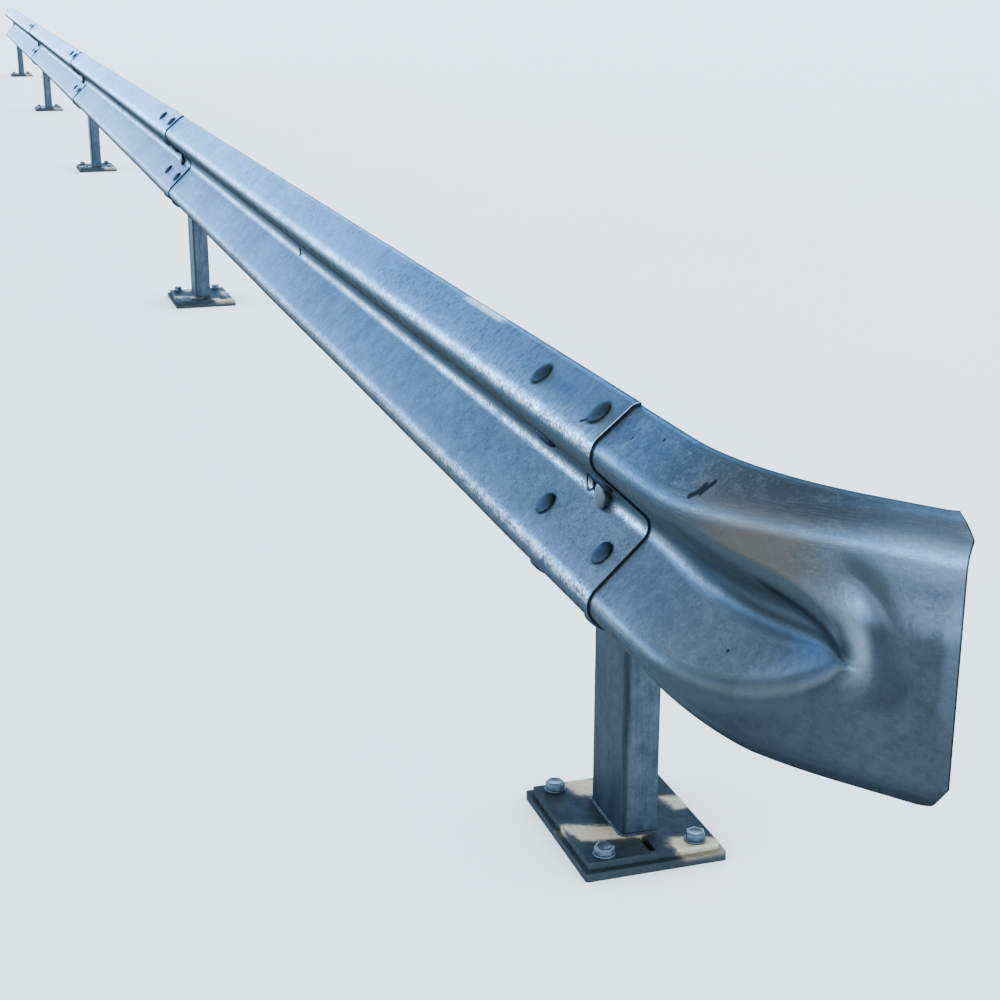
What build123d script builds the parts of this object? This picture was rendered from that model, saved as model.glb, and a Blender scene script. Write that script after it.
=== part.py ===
from build123d import *
import math
import os

# Surface-mounted steel guardrail: lapped W-beam rails on short channel posts,
# each welded to a base plate that stands on a levelling plate, with a flared
# end piece at the end that meets traffic. Millimetres. +X runs along the rail
# towards the flared end, -Y faces the road, +Z is up. The origin is under the
# middle of the first post's front face, on the underside of its levelling plate.

# Layout
bay_length = 4000.0
bay_count = 4
rail_centre_height = 485.0

# W-beam section: depths are negative towards the road, and every corner lies
# on the middle of the sheet
sheet = 3.0
beam_half_height = 155.0
valley_depth = 9.7
crest_depth = -79.5
crest_low = 84.9
crest_high = 107.7
lip_bend_depth = -26.6
lip_bend_height = 151.9
lip_depth = -17.7
lip_height = 153.5
beam_bend_radius = 25.0
lip_bend_radius = 7.0

# Laps and bolt holes
lap_length = 318.0
lap_centre = -23.0
lap_gap = 0.2
splice_pitch = 216.0
splice_centre = -22.0
inner_hole_height = 50.0
outer_hole_height = 132.0
splice_hole_diameter = 18.0
post_slot_length = 64.0
post_slot_width = 19.0
middle_hole_diameter = 16.0
hole_cut = 20.0

# Flared end piece
flare_start = 290.0
flare_radius = 420.0
flare_angle = math.radians(36.0)
flare_tail = 116.0
flare_stations = (290.0, 335.0, 380.0, 420.0, 455.0, 490.0, 515.0, 532.0, 544.0, 556.0, 600.0)
flare_end_depth = -64.0
flare_end_lip_depth = -14.0
flare_flattening = (250.0, 560.0)
flare_crest_rise = 38.0
flare_rising = (300.0, 640.0)
flare_crest_drop = 33.0
flare_dropping = (290.0, 470.0)
flare_nose = 552.0
flare_nose_high = -4.0
flare_nose_low = -14.0
flare_nose_recess = 3.0
flare_upper_closing_start = 340.0
flare_upper_even_share = 0.58
flare_upper_powers = (1.3, 12)
flare_lower_closing_start = 330.0
flare_lower_power = 2.5
flare_filling_start = 465.0
flare_filling_power = 1.5
flare_valley_bend_closing = (330.0, 560.0)
flare_crest_bend_closing = (290.0, 440.0)
flare_valley_bend_radius = 4.0
flare_crest_bend_radius = 8.0
flare_lip_bend_radius = 3.5
flare_corner_length = 26.0
flare_corner_height = 15.0

# Channel post
post_width = 120.0
post_depth = 50.0
post_wall = 5.0
post_bend_radius = 6.0
post_top_gap = 55.0
post_hole_diameter = 18.0

# Base plate and levelling plate
plate_middle = 25.0
base_plate_length = 230.0
base_plate_width = 186.0
base_plate_thickness = 10.0
levelling_plate_length = 250.0
levelling_plate_width = 200.0
levelling_plate_thickness = 12.0
plate_corner_radius = 4.0
anchor_pitch_x = 196.0
anchor_pitch_y = 130.0
anchor_hole_diameter = 18.0
drain_slot_offset = 89.0
drain_slot_length = 40.0
drain_slot_width = 10.0

near_end = lap_centre + lap_length / 2
lap_set_out = sheet + lap_gap
post_foot = levelling_plate_thickness + base_plate_thickness
post_top = rail_centre_height + beam_half_height - post_top_gap
flare_bend_end = flare_start + flare_radius * flare_angle
flare_length = flare_bend_end + flare_tail

os.makedirs("parts", exist_ok=True)


def set_out(corners, distance):
    """Corners of a bent strip moved sideways by distance, to the right of its run."""
    lines = []
    for (ax, ay), (bx, by) in zip(corners, corners[1:]):
        length = math.hypot(bx - ax, by - ay)
        ux, uy = (bx - ax) / length, (by - ay) / length
        lines.append((ax + distance * uy, ay - distance * ux, ux, uy))
    moved = [lines[0][:2]]
    for (ax, ay, ux, uy), (bx, by, vx, vy) in zip(lines, lines[1:]):
        along = ((bx - ax) * vy - (by - ay) * vx) / (ux * vy - uy * vx)
        moved.append((ax + along * ux, ay + along * uy))
    ax, ay, ux, uy = lines[-1]
    run = math.dist(corners[-2], corners[-1])
    moved.append((ax + run * ux, ay + run * uy))
    return moved


def set_out_radii(corners, radii, distance):
    """Bend radii after the strip has moved to the right of its run by distance."""
    moved = []
    for before, corner, after, radius in zip(corners, corners[1:], corners[2:], radii):
        turn = (corner[0] - before[0]) * (after[1] - corner[1])
        turn -= (corner[1] - before[1]) * (after[0] - corner[0])
        moved.append(radius + math.copysign(distance, turn))
    return moved


def strip_outline(corners, radii, thickness, distance=0.0):
    """The closed outline of bent sheet whose middle runs through corners."""
    right = distance + thickness / 2
    left = distance - thickness / 2
    right_corners = set_out(corners, right)
    left_corners = set_out(corners, left)
    with BuildLine() as outline:
        FilletPolyline(*right_corners, radius=set_out_radii(corners, radii, right))
        Line(right_corners[-1], left_corners[-1])
        FilletPolyline(*reversed(left_corners), radius=set_out_radii(corners, radii, left)[::-1])
        Line(left_corners[0], right_corners[0])
    return outline.line


def beam_corners():
    """Corners of the W-beam from its lower lip to its upper lip, as depth and height."""
    upper = [
        (crest_depth, crest_low),
        (crest_depth, crest_high),
        (lip_bend_depth, lip_bend_height),
        (lip_depth, lip_height),
    ]
    lower = [(depth, -height) for depth, height in reversed(upper)]
    return lower + [(valley_depth, 0.0)] + upper


beam_radii = [lip_bend_radius] + [beam_bend_radius] * 5 + [lip_bend_radius]


def cross_plane(position):
    """The plane across the rail at a place along it: first depth, then height."""
    return Plane(origin=(position, 0, rail_centre_height), x_dir=(0, 1, 0), z_dir=(1, 0, 0))


def beam_outline(distance):
    """The W-beam's section, set out by distance towards the road."""
    return strip_outline(beam_corners(), beam_radii, sheet, -distance)


def slope_planes():
    """Planes on the middles of the four slopes that take splice bolts, at X = 0."""
    planes = []
    inner_angle = math.atan2(crest_depth - valley_depth, crest_low)
    outer_angle = math.atan2(lip_bend_depth - crest_depth, lip_bend_height - crest_high)
    inner_depth = valley_depth + inner_hole_height * math.tan(inner_angle)
    outer_depth = crest_depth + (outer_hole_height - crest_high) * math.tan(outer_angle)
    rows = (
        (inner_hole_height, inner_depth, inner_angle),
        (outer_hole_height, outer_depth, outer_angle),
    )
    for height, depth, angle in rows:
        for side in (1, -1):
            origin = (0, depth, rail_centre_height + side * height)
            normal = (0, -math.cos(angle), side * math.sin(angle))
            planes.append(Plane(origin=origin, x_dir=(1, 0, 0), z_dir=normal))
    return planes


def cut_splice_holes(middle):
    """Cuts a lap's eight splice holes in the part that is open."""
    for plane in slope_planes():
        with BuildSketch(plane) as holes:
            with Locations((middle - splice_pitch / 2, 0), (middle + splice_pitch / 2, 0)):
                Circle(splice_hole_diameter / 2)
        extrude(holes.sketch, amount=hole_cut, both=True, mode=Mode.SUBTRACT)


def cut_post_slots(*middles):
    """Cuts long slots for post bolts in the valley of the part that is open."""
    with BuildSketch(Plane.XZ) as slots:
        with Locations(*[(middle, rail_centre_height) for middle in middles]):
            SlotOverall(post_slot_length, post_slot_width)
    extrude(slots.sketch, amount=hole_cut, both=True, mode=Mode.SUBTRACT)


def cut_middle_hole(middle):
    """Cuts the small hole in the valley halfway along a bay."""
    with BuildSketch(Plane.XZ) as hole:
        with Locations((middle, rail_centre_height)):
            Circle(middle_hole_diameter / 2)
    extrude(hole.sketch, amount=hole_cut, both=True, mode=Mode.SUBTRACT)


# Rails: each lies on the posts at its far end and steps out over its bay, so
# that its near end laps in front of the next piece
def make_rail(number):
    start = near_end - number * bay_length - lap_length
    lap_planes = (cross_plane(start + lap_length), cross_plane(start + bay_length))
    with BuildPart() as rail:
        with BuildSketch(cross_plane(start)):
            make_face(beam_outline(0.0))
        extrude(amount=lap_length)
        with BuildSketch(lap_planes[0]):
            make_face(beam_outline(0.0))
        with BuildSketch(lap_planes[1]):
            make_face(beam_outline(lap_set_out))
        loft(ruled=True)
        with BuildSketch(lap_planes[1]):
            make_face(beam_outline(lap_set_out))
        extrude(amount=lap_length)
        far_splice = splice_centre - number * bay_length
        near_splice = far_splice + bay_length
        cut_splice_holes(far_splice)
        cut_splice_holes(near_splice)
        cut_post_slots(far_splice, near_splice)
        cut_middle_hole((far_splice + near_splice) / 2)
    return rail.part


for number in range(1, bay_count + 1):
    rail = make_rail(number)
    rail.label = f"rail_{number}"
    export_step(rail, f"parts/{rail.label}.step")


# Flared end piece: the W closes into a shallow channel while its line turns
# away from the road
def ramp(along, begin, end):
    """Rises evenly from 0 at begin to 1 at end."""
    return min(max((along - begin) / (end - begin), 0.0), 1.0)


def ease(along, begin, end):
    """Rises smoothly from 0 at begin to 1 at end."""
    part = ramp(along, begin, end)
    return part * part * (3 - 2 * part)


def between(first, last, part):
    """The value at a part of the way from first to last."""
    return first + (last - first) * part


def flare_corners(along):
    """Corners of the flared section from its lower lip to its upper lip."""
    flattening = ease(along, *flare_flattening)
    upper_closing = ramp(along, flare_upper_closing_start, flare_nose)
    lower_closing = ramp(along, flare_lower_closing_start, flare_nose)
    filling = ramp(along, flare_filling_start, flare_nose)
    face = between(crest_depth, flare_end_depth, flattening)
    lip_move = (flare_end_lip_depth - lip_depth) * flattening
    even_power, sharp_power = flare_upper_powers
    even_closing = upper_closing ** even_power
    sharp_closing = upper_closing ** sharp_power
    blunt_closing = between(sharp_closing, even_closing, flare_upper_even_share)
    valley_high = between(crest_low, flare_nose_high, blunt_closing)
    valley_low = between(-crest_low, flare_nose_low, lower_closing ** flare_lower_power)
    valley = between(valley_depth, face + flare_nose_recess, filling ** flare_filling_power)
    crest_top = crest_high + flare_crest_rise * ease(along, *flare_rising)
    crest_bottom = -crest_high - flare_crest_drop * ease(along, *flare_dropping)
    return [
        (lip_depth + lip_move, -lip_height),
        (lip_bend_depth + lip_move, -lip_bend_height),
        (face, crest_bottom),
        (face, valley_low),
        (valley, (valley_high + valley_low) / 2),
        (face, valley_high),
        (face, crest_top),
        (lip_bend_depth + lip_move, lip_bend_height),
        (lip_depth + lip_move, lip_height),
    ]


def flare_radii(along):
    """Bend radii of the flared section, smaller where its valley closes."""
    valley_closing = ease(along, *flare_valley_bend_closing)
    crest_closing = ease(along, *flare_crest_bend_closing)
    valley_bend = between(beam_bend_radius, flare_valley_bend_radius, valley_closing)
    crest_bend = between(beam_bend_radius, flare_crest_bend_radius, crest_closing)
    inner = [crest_bend, valley_bend, valley_bend, valley_bend, crest_bend]
    return [flare_lip_bend_radius] + inner + [flare_lip_bend_radius]


def flare_plane(along):
    """The plane across the flared piece at a distance along its bent line."""
    turn = min(max((along - flare_start) / flare_radius, 0.0), flare_angle)
    tail = max(along - flare_bend_end, 0.0)
    x = min(along, flare_start) + flare_radius * math.sin(turn) + tail * math.cos(turn)
    y = flare_radius * (1 - math.cos(turn)) + tail * math.sin(turn)
    return Plane(
        origin=(x, y, rail_centre_height),
        x_dir=(-math.sin(turn), math.cos(turn), 0),
        z_dir=(math.cos(turn), math.sin(turn), 0),
    )


flare_back = near_end - lap_length
tail_plane = flare_plane(flare_length)
corner_height = beam_half_height + sheet
with BuildPart() as flared_end:
    with BuildSketch(cross_plane(flare_back)):
        make_face(beam_outline(0.0))
    extrude(amount=flare_start - flare_back)
    for along in flare_stations + (flare_length,):
        with BuildSketch(flare_plane(along)):
            make_face(strip_outline(flare_corners(along), flare_radii(along), sheet))
    loft(ruled=True)
    cut_splice_holes(splice_centre)
    cut_post_slots(splice_centre)
    with BuildSketch(Plane(origin=tail_plane.origin, x_dir=tail_plane.z_dir, z_dir=-tail_plane.x_dir)):
        with BuildLine():
            Polyline(
                (-flare_corner_length, corner_height),
                (sheet, corner_height),
                (sheet, corner_height - flare_corner_height),
                close=True,
            )
        make_face()
        mirror(about=Plane.XZ)
    extrude(amount=beam_half_height, both=True, mode=Mode.SUBTRACT)
flared_end.part.label = "flared_end"
export_step(flared_end.part, "parts/flared_end.step")


# Posts and plates
post_side = (post_width - post_wall) / 2
channel_corners = [
    (-post_side, post_depth),
    (-post_side, post_wall / 2),
    (post_side, post_wall / 2),
    (post_side, post_depth),
]

for number in range(1, bay_count + 2):
    place = -(number - 1) * bay_length
    with BuildPart() as post:
        with BuildSketch(Plane((place, 0, post_foot))):
            make_face(strip_outline(channel_corners, [post_bend_radius] * 2, post_wall))
        extrude(amount=post_top - post_foot)
        with BuildSketch(Plane.XZ):
            with Locations((place, rail_centre_height)):
                Circle(post_hole_diameter / 2)
        extrude(amount=-post_depth / 2, mode=Mode.SUBTRACT)
    post.part.label = f"post_{number}"
    export_step(post.part, f"parts/{post.part.label}.step")

    with BuildPart() as base_plate:
        with BuildSketch(Plane((place, plate_middle, levelling_plate_thickness))):
            RectangleRounded(base_plate_length, base_plate_width, plate_corner_radius)
            with GridLocations(anchor_pitch_x, anchor_pitch_y, 2, 2):
                Circle(anchor_hole_diameter / 2, mode=Mode.SUBTRACT)
            with Locations((-drain_slot_offset, 0), (drain_slot_offset, 0)):
                SlotOverall(drain_slot_length, drain_slot_width, mode=Mode.SUBTRACT)
        extrude(amount=base_plate_thickness)
    base_plate.part.label = f"base_plate_{number}"
    export_step(base_plate.part, f"parts/{base_plate.part.label}.step")

    with BuildPart() as levelling_plate:
        with BuildSketch(Plane((place, plate_middle, 0))):
            RectangleRounded(levelling_plate_length, levelling_plate_width, plate_corner_radius)
            with GridLocations(anchor_pitch_x, anchor_pitch_y, 2, 2):
                Circle(anchor_hole_diameter / 2, mode=Mode.SUBTRACT)
        extrude(amount=levelling_plate_thickness)
    levelling_plate.part.label = f"levelling_plate_{number}"
    export_step(levelling_plate.part, f"parts/{levelling_plate.part.label}.step")
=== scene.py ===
import math
from functools import partialmethod, reduce

import bpy
import numpy as np
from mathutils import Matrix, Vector


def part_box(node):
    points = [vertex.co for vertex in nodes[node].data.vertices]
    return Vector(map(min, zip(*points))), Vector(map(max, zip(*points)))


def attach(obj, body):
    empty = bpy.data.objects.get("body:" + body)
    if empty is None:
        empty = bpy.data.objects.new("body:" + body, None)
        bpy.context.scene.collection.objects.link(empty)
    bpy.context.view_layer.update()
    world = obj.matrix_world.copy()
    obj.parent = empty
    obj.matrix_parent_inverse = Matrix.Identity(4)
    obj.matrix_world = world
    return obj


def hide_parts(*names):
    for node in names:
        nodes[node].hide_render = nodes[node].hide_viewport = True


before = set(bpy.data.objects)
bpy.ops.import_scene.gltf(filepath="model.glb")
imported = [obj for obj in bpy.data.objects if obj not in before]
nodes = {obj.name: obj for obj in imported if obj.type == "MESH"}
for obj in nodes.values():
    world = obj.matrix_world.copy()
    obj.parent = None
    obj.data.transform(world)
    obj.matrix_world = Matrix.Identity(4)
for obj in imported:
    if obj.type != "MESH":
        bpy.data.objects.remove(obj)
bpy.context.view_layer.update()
print("frame loaded:", len(nodes), "nodes")


def nodeBox(name):
    low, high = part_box(name)
    return np.array(low), np.array(high)


postCount = sum(name.startswith("post_") for name in nodes)
railCount = sum(name.startswith("rail_") for name in nodes)
postLow, postHigh = nodeBox("post_1")
plateLow, plateHigh = nodeBox("base_plate_1")
bayLength = postLow[0] - nodeBox("post_2")[0][0]
flareLow, flareHigh = nodeBox("flared_end")
railCentre = (flareLow[2] + flareHigh[2]) / 2
nearEnd = nodeBox("rail_1")[1][0]
lapLength = nearEnd - flareLow[0]
splicePlace = (nearEnd + flareLow[0]) / 2 + 0.001  # the bolts stand 1 mm off the middle of the lap
splicePitch = 0.216  # between the two columns of splice bolts
holeRows = (0.050, 0.132)  # the rows' heights above and below the valley


def gridQuads(rows, columns, closeColumns=False):
    # the four corners of each cell of a rows x columns grid of points
    row = np.arange(rows - 1)[:, None]
    column = np.arange(columns if closeColumns else columns - 1)[None, :]
    after = (column + 1) % columns
    a = row * columns + column
    b = row * columns + after
    return np.stack([a, b, b + columns, a + columns], -1).reshape(-1, 4)


def ringFaces(rings, around):
    # quads between closed rings of points, and a cap over each end
    last = (rings - 1) * around
    caps = np.stack([np.arange(around)[::-1], last + np.arange(around)])
    return gridQuads(rings, around, closeColumns=True), caps


def unit(vectors):
    return vectors / np.maximum(np.linalg.norm(vectors, axis=-1, keepdims=True), 1e-12)


def distanceAlong(lines):
    # from the start of each polyline to every point of it
    step = np.linalg.norm(np.diff(lines, axis=-2), axis=-1)
    return np.concatenate([np.zeros_like(step[..., :1]), np.cumsum(step, -1)], -1)


def addObject(name, data):
    made = bpy.data.objects.new(name, data)
    bpy.context.scene.collection.objects.link(made)
    return made


def makePiece(name, points, quads, caps=None, layers=None):
    # caps: more faces of another size; layers: vectors kept in the points, by name
    mesh = bpy.data.meshes.new(name)
    faces = [quads] if caps is None else [quads, caps]
    corners = np.concatenate([face.ravel() for face in faces]).astype(np.int32)
    sizes = np.concatenate([np.full(len(face), face.shape[1]) for face in faces])
    starts = np.concatenate([[0], np.cumsum(sizes)[:-1]]).astype(np.int32)
    mesh.vertices.add(points.size // 3)
    mesh.vertices.foreach_set("co", points.ravel())
    mesh.loops.add(len(corners))
    mesh.loops.foreach_set("vertex_index", corners)
    mesh.polygons.add(len(sizes))
    mesh.polygons.foreach_set("loop_start", starts)
    mesh.polygons.foreach_set("use_smooth", np.ones(len(sizes), bool))
    for layerName, vectors in (layers or {}).items():
        layer = mesh.attributes.new(layerName, "FLOAT_VECTOR", "POINT")
        layer.data.foreach_set("vector", vectors.ravel())
    mesh.update(calc_edges=True)
    mesh.validate()
    return addObject(name, mesh)


def spun(profile, shape=None, around=36):
    # radius and height pairs turned about Z; shape scales the radius by direction
    profile = np.asarray(profile, float)
    angle = np.linspace(0, 2 * np.pi, around, endpoint=False)
    scale = np.ones(around) if shape is None else shape(angle)
    radius = profile[:, :1] * scale
    height = np.repeat(profile[:, 1:], around, 1)
    points = np.stack([radius * np.cos(angle), radius * np.sin(angle), height], -1).reshape(-1, 3)
    return points, *ringFaces(len(profile), around)


def facing(direction, along=(1, 0, 0)):
    # a turn, as rows, that carries +Z to direction and +X near to along
    up = unit(np.asarray(direction, float))
    side = unit(along - up * np.dot(along, up))
    return np.stack([side, np.cross(up, side), up])


class Signal:
    # a node socket that adds, multiplies and compares like a number

    def __init__(self, maker, socket):
        self.maker = maker
        self.socket = socket

    def other(self, output):
        return Signal(self.maker, self.socket.node.outputs[output])

    def math(self, operation, *others):
        return self.maker.node("ShaderNodeMath", dict(enumerate((self, *others))), operation=operation)

    __add__ = __radd__ = partialmethod(math, "ADD")
    __sub__ = partialmethod(math, "SUBTRACT")
    __mul__ = partialmethod(math, "MULTIPLY")
    __truediv__ = partialmethod(math, "DIVIDE")
    __pow__ = partialmethod(math, "POWER")
    __abs__ = partialmethod(math, "ABSOLUTE")
    least = partialmethod(math, "MINIMUM")
    most = partialmethod(math, "MAXIMUM")

    def __rsub__(self, other):
        return self.maker.node("ShaderNodeMath", {0: other, 1: self}, operation="SUBTRACT")

    def clipped(self):
        return self.maker.node("ShaderNodeClamp", {0: self, 1: 0.0, 2: 1.0})

    def folded(self, centre=0.0):
        # a distance along the run, folded to one bay and measured from centre
        turns = self / bayLength + (0.5 - centre / bayLength)
        return turns.math("FRACT") * bayLength - bayLength / 2

    def ease(self, low, high):
        # 0 at low, 1 at high, smooth in between; low may be the larger
        values = {0: self, 1: low, 2: high, 3: 0.0, 4: 1.0}
        return self.maker.node("ShaderNodeMapRange", values, interpolation_type="SMOOTHSTEP")


def largest(signals):
    return reduce(Signal.most, signals)


def smallest(signals):
    return reduce(Signal.least, signals)


def apart(x, y):
    # the length of a step of x one way and y the other
    return (x * x + y * y) ** 0.5


class Finish:
    # the node tree of a material or of the world, under construction

    def __init__(self, owner):
        owner.use_nodes = True
        self.owner = owner
        self.tree = owner.node_tree
        self.tree.nodes.clear()

    def node(self, kind, values, output=0, **settings):
        made = self.tree.nodes.new(kind)
        for key, value in settings.items():
            setattr(made, key, value)
        for key, value in values.items():
            if isinstance(value, Signal):
                self.tree.links.new(value.socket, made.inputs[key])
            else:
                made.inputs[key].default_value = value
        return Signal(self, made.outputs[output]) if len(made.outputs) else None

    def place(self):
        return self.node("ShaderNodeTexCoord", {}, "Object")

    def sheet(self, name="sheet"):
        # a vector kept in a mesh's points
        return self.node("ShaderNodeAttribute", {}, "Vector", attribute_name=name)

    def roadSide(self):
        # 1 on the side of a sheet that faces the road, 0 on its back
        normal = self.node("ShaderNodeNewGeometry", {}, "Normal")
        return self.axes(normal)[1].ease(0.10, -0.10)

    def axes(self, vector):
        split = self.node("ShaderNodeSeparateXYZ", {0: vector})
        return split, split.other(1), split.other(2)

    def stretched(self, vector, x, y, z):
        return self.node("ShaderNodeVectorMath", {0: vector, 1: (x, y, z)}, operation="MULTIPLY")

    def noise(self, vector, scale, detail=3.0, roughness=0.55):
        # scale: one number, or a number for each axis
        if isinstance(scale, tuple):
            vector, scale = self.stretched(vector, *scale), 1.0
        values = {"Vector": vector, "Scale": scale, "Detail": detail, "Roughness": roughness}
        return self.node("ShaderNodeTexNoise", values)

    def mixed(self, first, second, amount):
        colours = [colour if isinstance(colour, Signal) else (*colour, 1.0) for colour in (first, second)]
        return self.node("ShaderNodeMix", {0: amount, 6: colours[0], 7: colours[1]}, 2, data_type="RGBA")

    def bump(self, height, strength, distance):
        return self.node("ShaderNodeBump", {"Strength": strength, "Distance": distance, "Height": height})

    def surface(self, colour, roughness, metallic, relief, specular=0.5, grazing=(1.0, 1.0, 1.0)):
        # grazing: a metal's tint seen edge-on
        values = {"Base Color": colour, "Roughness": roughness, "Metallic": metallic, "Normal": relief}
        values |= {"Specular IOR Level": specular, "Specular Tint": (*grazing, 1.0)}
        return self.node("ShaderNodeBsdfPrincipled", values)

    def closed(self, shader):
        self.node("ShaderNodeOutputMaterial", {0: shader})
        return self.owner


def newFinish(name):
    return Finish(bpy.data.materials.new(name))


zinc = dict(
    # dark stains, also the colour of the painted shade marks
    stainAndShade=(0.004, 0.005, 0.006),
    under=(0.020, 0.023, 0.023),  # matt grime and painted shade where the sheet faces down
    spray=(0.034, 0.035, 0.031),  # and the paler film where it faces up
    # painted highlight on the bends
    rubbed=(0.60, 0.65, 0.68),
    highlightSlope=0.34,  # the upward part of the normal where the painted highlight is strongest
    shelf=(0.030, 0.044, 0.062),  # painted shade on the nearly level parts
    # painted highlight on the cut edge at a rail's near end
    cut=(0.30, 0.34, 0.38),
    grazing=(0.38, 0.47, 0.57),
    spangle=75.0,  # crystals per metre
    # scale, detail and weight, from coarse to fine
    noises=((3.2, 5.0, 0.70), (17.0, 4.0, 0.65), (60.0, 3.0, 0.60), (240.0, 3.0, 0.40)),
    roughness=0.28,
    mattRoughness=0.7,
    metallic=0.90,
    solidMetallic=0.85,  # of the posts, plates and bolts
)


def zincShade(finish, vector):
    # crystals and noises added together, about 0 to 1
    cells = finish.node("ShaderNodeTexVoronoi", {"Vector": vector, "Scale": zinc["spangle"]}, "Color")
    crystals = finish.axes(cells)[0]
    shade = crystals * 0.18 - 0.77
    for scale, detail, weight in zinc["noises"]:
        fine = finish.noise(vector, scale, detail, 0.6)
        shade = shade + fine * weight
    return shade.clipped(), crystals, fine


def toStroke(u, v, corners):
    # distance from a bent stroke: the part along each run is clamped to the run's length
    parts = []
    for start, end in zip(corners, corners[1:]):
        run = np.subtract(end, start)
        length = float(np.hypot(*run))
        along = (u - start[0]) * (run[0] / length) + (v - start[1]) * (run[1] / length)
        across = (u - start[0]) * (-run[1] / length) + (v - start[1]) * (run[0] / length)
        parts.append(apart((abs(along - length / 2) - length / 2).most(0.0), across))
    return smallest(parts)


markReach = dict(
    # where each mark ends and where it is full, as distances
    lip=(0.0045, 0.0010),  # painted shade in from the lips
    seamShadowAndDirt=(0.0032, 0.0010),  # painted shadow and dirt beyond the near end of a rail
    bolt=(0.0235, 0.0170),  # from the middle of a splice bolt
    slot=(0.0050, 0.0010),  # painted shade from the rim of a post bolt's slot
    middleHole=(0.0185, 0.0125),  # painted shade from the middle of the hole in mid-bay
    cutEdge=((0.0030, 0.0022), (0.0005, 0.0010)),  # the painted highlight inside the near end of a rail
)


def seatShadeAndDirt(folded, v, runs):
    # painted shade along the lips and round every slot and hole, painted shadow and dirt beyond each lap, and
    # dirt round every bolt
    edge = nearEnd - splicePlace
    # painted shade along both lips
    far, full = markReach["lip"]
    lip = abs(v).ease(girth / 2 - far, girth / 2 - full)
    # painted shadow and dirt just beyond the near end of each rail
    far, full = markReach["seamShadowAndDirt"]
    seamShadowAndDirt = folded.ease(edge + far, edge + full)
    seamShadowAndDirt = seamShadowAndDirt * folded.ease(edge - 0.0007, edge - 0.0002)
    toRow = smallest([abs(abs(v) - roundAt(row)) for row in holeRows])
    bolt = apart(abs(abs(folded) - splicePitch / 2), toRow).ease(*markReach["bolt"])
    # painted shade round the slots and the mid-bay hole, so they read dark
    slotLength, slotWidth = openings["slot"]
    toSlot = apart((abs(folded) - (slotLength - slotWidth) / 2).most(0.0), v) - slotWidth / 2
    hole = apart(abs(abs(folded) - bayLength / 2), v).ease(*markReach["middleHole"])
    openingShade = toSlot.ease(*markReach["slot"]).most(hole)
    return largest([lip * 0.8, seamShadowAndDirt * 0.95, bolt * (0.35 + runs * 0.8), openingShade * 0.9])


def sprayDirt(finish, runs, amount):
    # wide stains, specks and a crackle of fine dark marks; amount scales the last two
    vector = finish.sheet()
    flat = finish.stretched(vector, 1.0, 1.0, 0.0)
    stains = (finish.noise(flat, 6.5, 6.0, 0.7) + runs * 0.3).ease(0.70, 0.92) * 0.5
    specks = finish.noise(flat, 95.0, 2.0).ease(0.70, 0.75)
    specks = specks * finish.noise(flat, 7.0, 2.0).ease(0.48, 0.60)
    crackle = finish.noise(vector, (95.0, 75.0, 0.0), 6.0, 0.8).ease(0.48, 0.60)
    crackle = crackle * finish.noise(flat, 2.6, 3.0, 0.6).ease(0.40, 0.56)
    return largest([stains, specks * 0.6 * amount, crackle * 0.42 * amount])


def sheetZinc(name, tones, lookOf):
    # zinc on rolled sheet: u runs along it, v round its section from the valley, and up is the
    # upward part of the front's normal, which says where the painted highlights, the painted shade and the
    # grime fall
    finish = newFinish(name)
    look = lookOf(finish)
    vector = finish.sheet()
    u, v, up = finish.axes(vector)
    shade, crystals, fine = zincShade(finish, finish.stretched(vector, 1.0, 1.0, 0.0))
    streaks = finish.noise(vector, (300.0, 70.0, 0.0), 5.0, 0.75)
    runs = finish.noise(vector, (60.0, 5.0, 0.0), 4.0, 0.6)
    worn = (shade + (streaks - 0.5) * 0.5 + (runs - 0.5) * 0.35).clipped()
    grains = (fine - 0.5) * 2.0 + (shade - 0.5) * 1.3
    frost = (0.38 + (streaks - 0.5) * 1.2 + grains * look["grain"]).clipped()
    # painted highlight along the bends, in frosty grains
    rubbed = abs(up - zinc["highlightSlope"]).ease(0.44, 0.04) * frost
    folded = u.folded(splicePlace)
    edge = nearEnd - splicePlace
    # a painted highlight along the cut edge at the near end of each rail
    (outer, inner), (tip, full) = markReach["cutEdge"]
    cutEdge = folded.ease(edge - outer, edge - inner) * folded.ease(edge - tip, edge - full)
    colour = finish.mixed(tones["dull"], tones["bright"], worn)
    for tone, amount in (
        # painted shade where the sheet is nearly level
        (zinc["shelf"], up.ease(0.82, 0.97) * 0.7),
        (zinc["rubbed"], rubbed * look["rubbed"]),
        (zinc["cut"], cutEdge * up.ease(0.1, 0.5) * v.ease(0.0, 0.05) * 0.8),
        *look["tints"],
    ):
        colour = finish.mixed(colour, tone, amount)
    # dirt, together with the painted shade and shadow marks
    dirt = largest([seatShadeAndDirt(folded, v, runs), sprayDirt(finish, runs, look["crackle"]), look["dark"]])
    cloudy = (0.94 + (runs - 0.5) * 0.7 + (shade - 0.5) * 0.3).clipped()
    # grime and painted shade darken the parts that face down
    grime = up.ease(*look["grime"]) * (0.30 + abs(v).ease(0.006, 0.055) * 0.70) * cloudy
    # spray from the road leaves a matt film on the lower slopes
    film = v.ease(0.0, -0.020) * (0.30 + runs * 0.20) * look["film"]
    relief = finish.bump(crystals * 0.2 + streaks * 0.55 + fine * 0.4, 0.5, 0.0008)
    roughness = zinc["roughness"] + (1 - shade) * 0.14
    metal = finish.surface(colour, roughness, zinc["metallic"], relief, grazing=zinc["grazing"])
    mattColour = finish.mixed(zinc["under"], zinc["spray"], up.ease(0.0, 0.3))
    mattColour = finish.mixed(mattColour, zinc["stainAndShade"], dirt)
    matt = finish.surface(mattColour, zinc["mattRoughness"], 0.0, relief, 0.0)
    layered = {0: largest([grime, dirt, film]), 1: metal, 2: matt}
    return finish.closed(finish.node("ShaderNodeMixShader", layered))


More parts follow.
